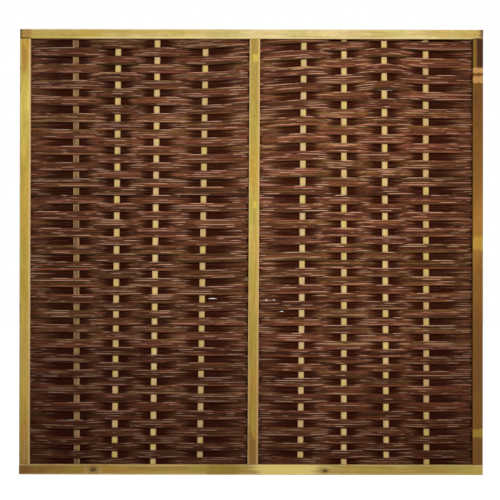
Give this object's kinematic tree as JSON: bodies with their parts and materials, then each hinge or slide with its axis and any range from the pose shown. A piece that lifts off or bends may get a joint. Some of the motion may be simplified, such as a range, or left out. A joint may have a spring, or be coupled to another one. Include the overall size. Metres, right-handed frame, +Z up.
{
  "type": "framed willow fence panel",
  "caption": "Fence panel of willow rods woven on upright stakes, clamped between two timber frames of laths with a centre stile.",
  "frame": {"origin": "middle of the panel's left edge, on the outer edge face of the left stake, half way through the panel's depth", "axes": "+X along the width to the right edge, seen from the front; +Y from the front to the back, so the front faces -Y; +Z up"},
  "size_m": [1.8, 0.064, 1.73],
  "materials": {
    "frame_timber": "sawn softwood, treated, golden brown",
    "stake_timber": "sawn softwood, pale yellow",
    "willow_rod": "unpeeled rods with glossy red-brown bark"
  },
  "bodies": {
    "root": {"front_top_rail": "frame_timber", "front_bottom_rail": "frame_timber", "front_left_stile": "frame_timber", "front_centre_stile": "frame_timber", "front_right_stile": "frame_timber", "back_top_rail": "frame_timber", "back_bottom_rail": "frame_timber", "back_left_stile": "frame_timber", "back_centre_stile": "frame_timber", "back_right_stile": "frame_timber", "stake_01": "stake_timber", "stake_02": "stake_timber", "stake_03": "stake_timber", "stake_04": "stake_timber", "stake_05": "stake_timber", "stake_06": "stake_timber", "stake_07": "stake_timber", "stake_08": "stake_timber", "stake_09": "stake_timber", "stake_10": "stake_timber", "stake_11": "stake_timber", "willow_weave_01": "willow_rod", "willow_weave_02": "willow_rod", "willow_weave_03": "willow_rod", "willow_weave_04": "willow_rod", "willow_weave_05": "willow_rod", "willow_weave_06": "willow_rod", "willow_weave_07": "willow_rod", "willow_weave_08": "willow_rod", "willow_weave_09": "willow_rod", "willow_weave_10": "willow_rod", "willow_weave_11": "willow_rod"}
  },
  "joints": []
}
